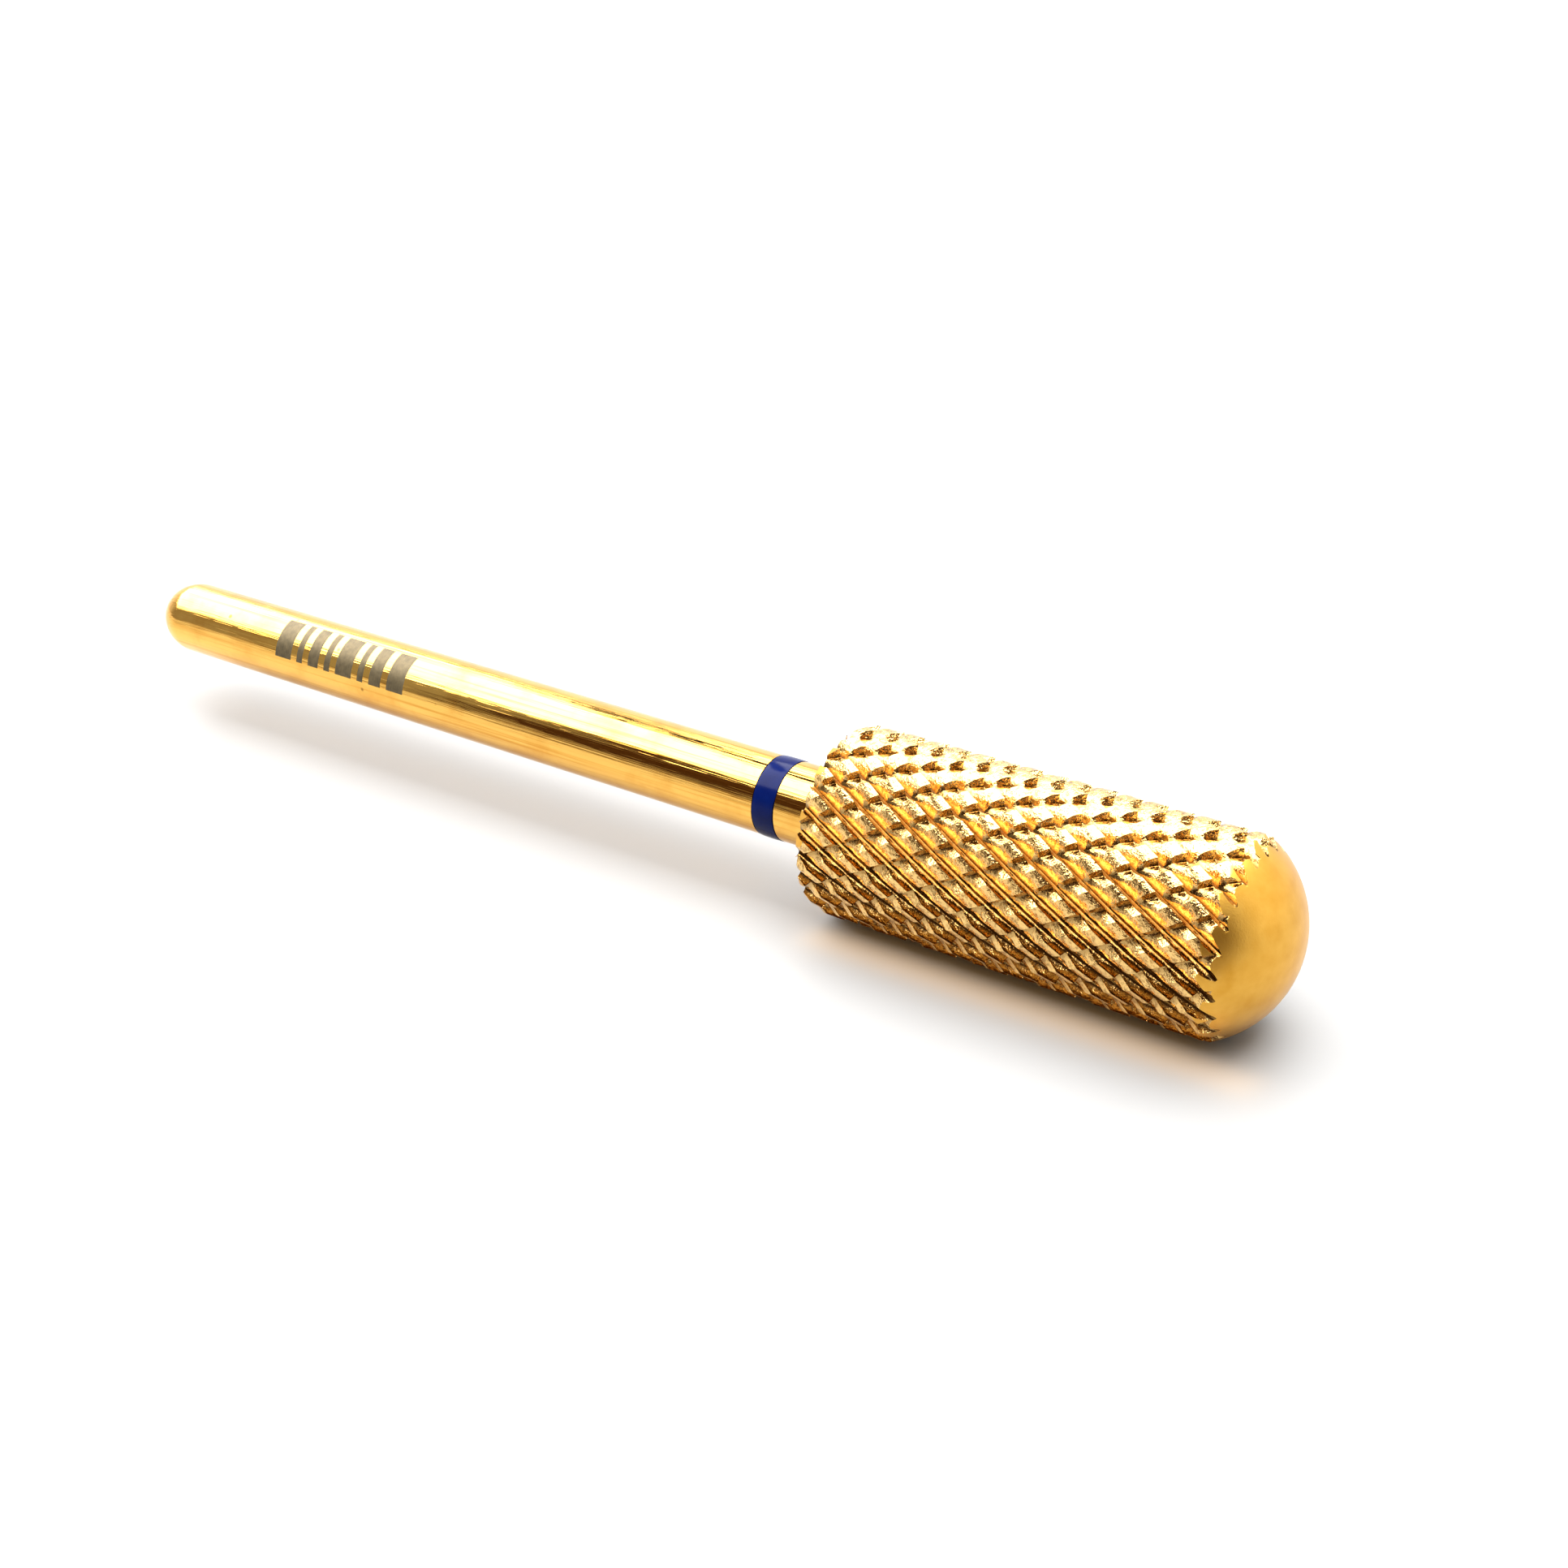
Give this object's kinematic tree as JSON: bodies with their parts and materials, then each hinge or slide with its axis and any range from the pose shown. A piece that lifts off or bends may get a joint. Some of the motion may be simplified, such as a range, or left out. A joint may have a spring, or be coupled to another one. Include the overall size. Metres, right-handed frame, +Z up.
{
  "type": "nail drill bit",
  "caption": "Gold-coated barrel-shaped carbide rotary bit with cross-cut teeth, a smooth domed end and a blue colour ring on a slim round shank.",
  "frame": {"origin": "centre of the flat end face of the shank's tail", "axes": "+X along the tool's axis from the tail to the dome, +Z up with the bit lying on its head and its axis level"},
  "size_m": [0.0405, 0.0054, 0.0054],
  "materials": {
    "coated_steel": "polished, gold-coloured nitride coating over ground steel",
    "blue_enamel": "glossy baked enamel",
    "coated_carbide": "gold-coloured nitride coating over ground tungsten carbide, satin on the dome",
    "silver_braze": "dull brazing alloy"
  },
  "bodies": {
    "root": {"shank": "coated_steel", "grit_band": "blue_enamel", "cutter_head": "coated_carbide", "braze_joint": "silver_braze"}
  },
  "joints": []
}
